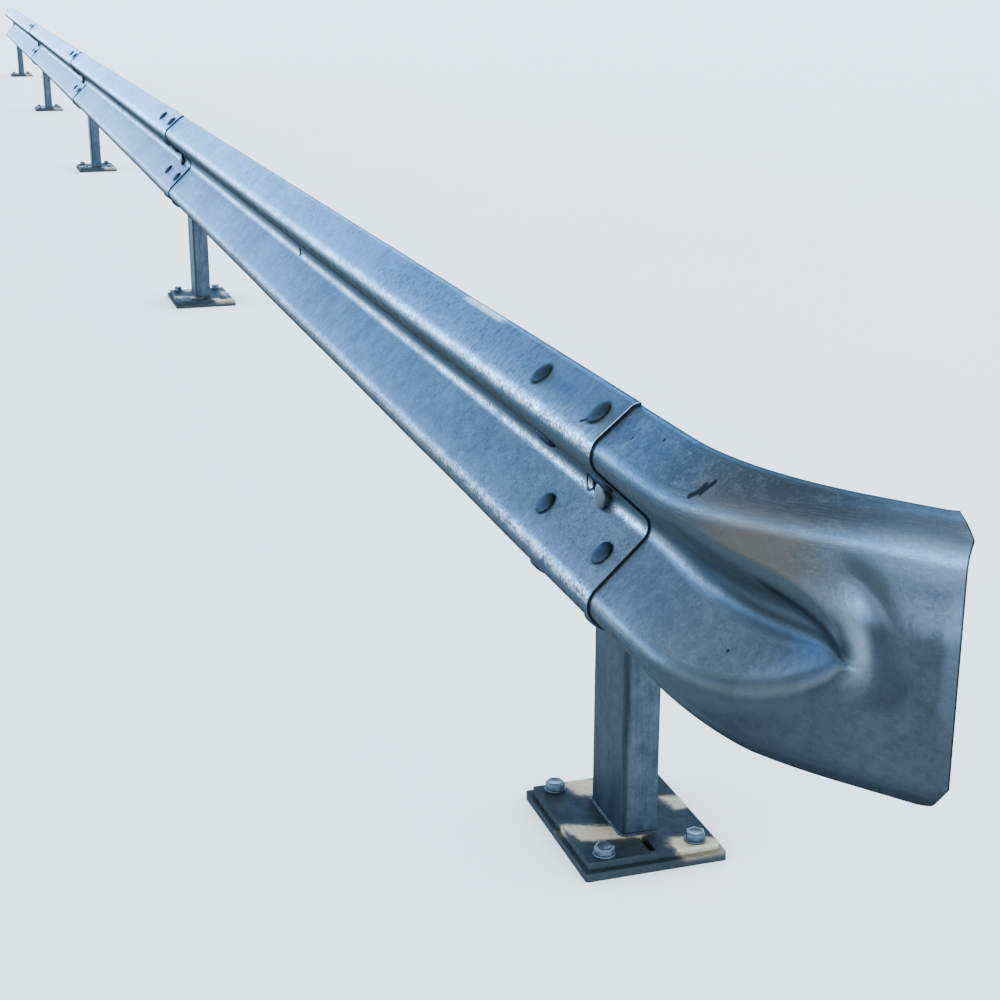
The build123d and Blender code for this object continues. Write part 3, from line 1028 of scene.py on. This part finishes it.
flareFinish = sheetZinc("flared end zinc", flare, flareLook)
finishSheet(flaredEnd, flareFinish, "flared_end")
print("flared end:", len(stations), "by", len(fractions), "points")


def domeProfile(radius, height):
    # a low dome on a short upright rim
    rim = [(radius * 0.96, 0.0), (radius, height * 0.10), (radius * 0.995, height * 0.28)]
    angles = np.linspace(0, math.pi / 2 * 0.985, 9)[1:]
    return rim + [(radius * math.cos(a), height * (0.28 + 0.72 * math.sin(a))) for a in angles]


def hexagon(angle):
    # a ring's radius follows a hexagon: apothem / cos(angle from the middle of the flat)
    toFlat = (angle + math.pi / 6) % (math.pi / 3) - math.pi / 6
    return 1 / np.cos(toFlat)


def hexProfile(across, base, height, bore):
    half = across / 2
    chamfer = half * 0.9
    outline = [(bore, 0.04), (chamfer, 0.0), (half, 0.10), (half, 0.90), (chamfer, 1.0), (bore, 0.96)]
    return [(radius, base + height * part) for radius, part in outline]


def threadProfile(radius, base, top, pitch=0.002, deep=0.0009):
    # a zigzag of ridges from base to top with a short plain tip
    turns = int((top - base) / pitch)
    ridges = [(radius - deep * (i % 2), base + pitch * i / 2) for i in range(2 * turns)]
    return ridges + [(radius - deep, top), (radius - 0.0022, top + 0.0012)]


def washerProfile(radius, bore, thickness):
    # its rim is slightly rounded
    flat = radius - 0.0003
    rim = [(flat, 0.0), (radius, 0.0004), (radius, thickness - 0.0004), (flat, thickness)]
    return [(bore, 0.0)] + rim + [(bore, thickness)]


creaseAngle = math.radians(38)  # edges of the bolts and welds sharper than this stay hard


def addRepeated(name, shapes, seats, material):
    # shapes: points, quads and caps of each part; seats: a place and a turn for each repeat
    places, turns = map(np.array, zip(*seats))
    points, quads, caps = [], [], []
    count = 0
    for partPoints, partQuads, partCaps in shapes:
        # points @ turn + place at every seat; the faces count on from the points before
        joined = np.einsum("nj,kjm->knm", partPoints, turns) + places[:, None]
        step = count + np.arange(len(places))[:, None, None] * len(partPoints)
        points.append(joined.reshape(-1, 3))
        quads.append((partQuads + step).reshape(-1, 4))
        caps.append((partCaps + step).reshape(-1, partCaps.shape[1]))
        count += len(points[-1])
    piece = makePiece(name, np.concatenate(points), np.concatenate(quads), np.concatenate(caps))
    edge = piece.modifiers.new("crease", "EDGE_SPLIT")
    edge.split_angle = creaseAngle
    piece.data.materials.append(material)
    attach(piece, "root")


splice = dict(
    headRadius=0.0168,
    headHeight=0.0068,
    shank=0.0080,
    shankOut=0.011,  # how far the bolt's end stands out behind its nut
    nutAcross=0.024,
    nutHeight=0.013,
    washerRadius=0.015,
    washerThickness=0.003,
    bright=(0.020, 0.027, 0.034),
    dull=(0.007, 0.010, 0.013),
    roughness=0.46,
    specular=0.25,
    grazing=(0.36, 0.42, 0.48),
)
boltFinish = solidZinc("bolt zinc", splice)
fronts = []
backs = []
for post in range(postCount - 1):
    for row in (holeRows[1], holeRows[0], -holeRows[0], -holeRows[1]):
        middle, normal = sectionAt(roundAt(row))
        direction = np.array([0, normal[0], normal[1]])
        for side in (-0.5, 0.5):
            place = splicePlace - bayLength * post + side * splicePitch
            onSheet = np.array([place, middle[0], railCentre + middle[1]])
            fronts.append((onSheet + direction * (beam["setOut"] + beam["sheet"] / 2), facing(direction)))
            backs.append((onSheet - direction * beam["sheet"] / 2, facing(-direction)))
headShape = spun(domeProfile(splice["headRadius"], splice["headHeight"]))
addRepeated("spliceBoltHeads", [headShape], fronts, boltFinish)
washer = splice["washerThickness"]
nutShapes = [
    spun(washerProfile(splice["washerRadius"], splice["shank"], washer)),
    spun(hexProfile(splice["nutAcross"], washer, splice["nutHeight"], splice["shank"]), hexagon),
    spun(threadProfile(splice["shank"], 0.001, splice["nutHeight"] + splice["shankOut"])),
]
addRepeated("spliceNuts", nutShapes, backs, boltFinish)

postBolt = dict(
    headRadius=0.0175,
    headHeight=0.0060,
    # radius and height of the neck under the head, which goes down into the slot
    neck=[(0.0079, -0.024), (0.0080, -0.0235), (0.0080, -0.0105), (0.0120, -0.0095), (0.0165, -0.0030)],
    web=0.005,  # thickness of the post behind it
    bright=(0.044, 0.045, 0.042),
    dull=(0.018, 0.019, 0.018),
)
postBoltFinish = solidZinc("post bolt zinc", postBolt)
heads = []
tails = []
middle, normal = sectionAt(np.linspace(0, 0.03, 121))
for post in range(postCount):
    out = (beam["setOut"] if post < postCount - 1 else 0.0) + beam["sheet"] / 2
    skin = middle + normal * out
    seat = np.interp(postBolt["headRadius"], skin[:, 1], skin[:, 0])  # where its rim meets the slopes
    heads.append(([-bayLength * post, seat, railCentre], facing((0, -1, 0))))
    tails.append(([-bayLength * post, postLow[1] + postBolt["web"], railCentre], facing((0, 1, 0))))
headProfile = postBolt["neck"] + domeProfile(postBolt["headRadius"], postBolt["headHeight"])
addRepeated("postBoltHeads", [spun(headProfile)], heads, postBoltFinish)
addRepeated("postBoltNuts", nutShapes, tails, postBoltFinish)

anchor = dict(
    pitch=(0.196, 0.130),
    headHeight=0.010,
    footRadius=0.0119,
    # radius of the head and how far below its top
    outline=(
        (0.0120, 0.0016), (0.0112, 0.0003), (0.0104, 0.0), (0.0080, 0.0), (0.0072, 0.0004), (0.0010, 0.0004),
    ),
    bright=(0.052, 0.060, 0.068),
    dull=(0.017, 0.022, 0.028),
    roughness=0.42,
)
anchorFinish = solidZinc("anchor zinc", anchor)
plateMiddle = (plateLow + plateHigh) / 2
corners = []
turning = np.random.default_rng(7)
for post in range(postCount):
    for across in (-0.5, 0.5):
        for deep in (-0.5, 0.5):
            x = plateMiddle[0] - bayLength * post + across * anchor["pitch"][0]
            y = plateMiddle[1] + deep * anchor["pitch"][1]
            turn = turning.uniform(0, math.pi / 3)
            corners.append(([x, y, plateHigh[2]], facing((0, 0, 1), (math.cos(turn), math.sin(turn), 0))))
anchorTop = washer + anchor["headHeight"]
anchorHead = [(anchor["footRadius"], washer)]
anchorHead += [(radius, anchorTop - below) for radius, below in anchor["outline"]]
anchorShapes = [nutShapes[0], spun(anchorHead, hexagon)]
addRepeated("anchors", anchorShapes, corners, anchorFinish)
print("bolts:", len(fronts), "splice,", len(heads), "post,", len(corners), "anchor")


postTones = dict(
    bright=(0.050, 0.059, 0.066),
    dull=(0.012, 0.017, 0.021),
    streaked=0.85,
    roughness=0.46,
    specular=0.34,
    grazing=(0.54, 0.58, 0.61),
)
plateTones = dict(
    bright=(0.033, 0.037, 0.035),
    dull=(0.011, 0.013, 0.014),
    roughness=0.55,
    specular=0.30,
    grazing=(0.32, 0.38, 0.43),
)
postFinish = solidZinc("post zinc", postTones, postMarks)
plateFinish = solidZinc("plate zinc", plateTones, sunPatchedPlate)
for name, node in nodes.items():
    if name.startswith("post_") or "plate" in name:
        node.data.materials.clear()
        node.data.materials.append(postFinish if name.startswith("post_") else plateFinish)

weld = dict(
    radius=0.0038,
    ripple=(0.0052, 0.10),  # length and share of the radius
    unevenness=(71, 0.08),  # the same for a slower swell, with its turns in radians per metre
    bend=0.0085,
    steps=420,
    around=10,
    bright=(0.020, 0.025, 0.030),
    dull=(0.006, 0.008, 0.010),
    roughness=0.55,
)


def weldBead():
    # a tube of radius r(s) = radius * (1 + a sin(2 pi s / ripple) + b sin(k s + 1)) along the foot
    wide = (postHigh[0] - postLow[0]) / 2
    deep = postHigh[1]
    path = np.array([(-wide, deep - 0.002), (-wide, 0.0), (wide, 0.0), (wide, deep - 0.002)])
    line = bentLines(path[None], np.full((1, 2), weld["bend"]), 12)
    line = resampled(line, np.linspace(0, 1, weld["steps"]))[0]
    run = unit(np.gradient(line, axis=0))
    distance = distanceAlong(line)
    length, share = weld["ripple"]
    turns, swell = weld["unevenness"]
    radius = 1 + share * np.sin(distance * 2 * np.pi / length) + swell * np.sin(distance * turns + 1)
    radius = weld["radius"] * radius[:, None]
    angle = np.linspace(0, 2 * np.pi, weld["around"], endpoint=False)
    outwards = radius * np.cos(angle)
    x = line[:, :1] + run[:, 1:] * outwards
    y = line[:, 1:] - run[:, :1] * outwards
    points = np.stack([x, y, radius * np.sin(angle)], -1).reshape(-1, 3)
    # it runs the other way round its line, so the faces turn over
    return points, *[faces[:, ::-1] for faces in ringFaces(weld["steps"], weld["around"])]


feet = [([-bayLength * post, 0.0, plateHigh[2]], np.eye(3)) for post in range(postCount)]
addRepeated("footWelds", [weldBead()], feet, solidZinc("weld zinc", weld))
print("posts, plates and welds finished")


ground = dict(
    half=300.0,  # half the floor's side
    dark=(0.90, 0.82, 0.71),
    pale=(0.94, 0.86, 0.75),
    patches=0.8,  # per metre
    roughness=0.9,
    specular=0.1,
)
floorMesh = bpy.data.meshes.new("floor")
floorCorners = [(x * ground["half"], y * ground["half"], 0) for x, y in ((-1, -1), (1, -1), (1, 1), (-1, 1))]
floorMesh.from_pydata(floorCorners, [], [(0, 1, 2, 3)])
floor = addObject("floor", floorMesh)
floorFinish = newFinish("pale floor")
floorShade = floorFinish.noise(floorFinish.place(), ground["patches"])
floorRelief = floorFinish.bump(floorShade, 0.1, 0.001)
floorColour = floorFinish.mixed(ground["dark"], ground["pale"], floorShade)
floorSurface = floorFinish.surface(floorColour, ground["roughness"], 0.0, floorRelief, ground["specular"])
floor.data.materials.append(floorFinish.closed(floorSurface))

sky = dict(
    strength=32.0,
    # height above the horizon (sine) and colour: a pale glow, then a blue band, greyer and dim above
    stops=(
        (0.0, (0.48, 0.59, 0.70)),
        (0.08, (0.50, 0.74, 0.98)),
        (0.13, (0.22, 0.53, 0.96)),
        (0.18, (0.085, 0.29, 0.67)),
        (0.23, (0.045, 0.160, 0.40)),
        (0.29, (0.075, 0.140, 0.235)),
        (0.36, (0.135, 0.156, 0.162)),
        (0.55, (0.115, 0.135, 0.150)),
        (0.80, (0.035, 0.042, 0.05)),
    ),
)
world = bpy.data.worlds.new("studio")
bpy.context.scene.world = world
skyNodes = Finish(world)
rise = skyNodes.axes(skyNodes.node("ShaderNodeTexCoord", {}, "Generated"))[2]
skyColour = skyNodes.node("ShaderNodeValToRGB", {0: rise})
elements = skyColour.socket.node.color_ramp.elements
while len(elements) < len(sky["stops"]):
    elements.new(0.5)
for element, (position, colour) in zip(elements, sky["stops"]):
    element.position = position
    element.color = (*colour, 1.0)
background = skyNodes.node("ShaderNodeBackground", {0: skyColour, 1: sky["strength"]})
skyNodes.node("ShaderNodeOutputWorld", {0: background})

overhead = dict(strength=0.6, colour=(1.0, 0.96, 0.90), spread=math.radians(40), direction=(0.1, -0.25, -1.0))
sun = bpy.data.lights.new("overhead", "SUN")
sun.energy = overhead["strength"]
sun.color = overhead["colour"]
sun.angle = overhead["spread"]
lamp = addObject("overhead", sun)
lamp.rotation_euler = Vector(overhead["direction"]).to_track_quat("-Z", "Y").to_euler()

# yaw: how far the camera looks in from the line of the rails; pitch: how far down
view = dict(place=(2.008, -0.789, 1.157), yaw=math.radians(17.574), pitch=math.radians(17.5), lens=62.64)
camera = bpy.data.cameras.new("camera")
camera.sensor_width = 36.0
camera.lens = view["lens"]
camera.clip_end = 1000.0
viewer = addObject("camera", camera)
viewer.location = view["place"]
viewer.rotation_euler = (math.pi / 2 - view["pitch"], 0.0, math.pi / 2 - view["yaw"])
bpy.context.scene.camera = viewer
print("floor, light and camera set")
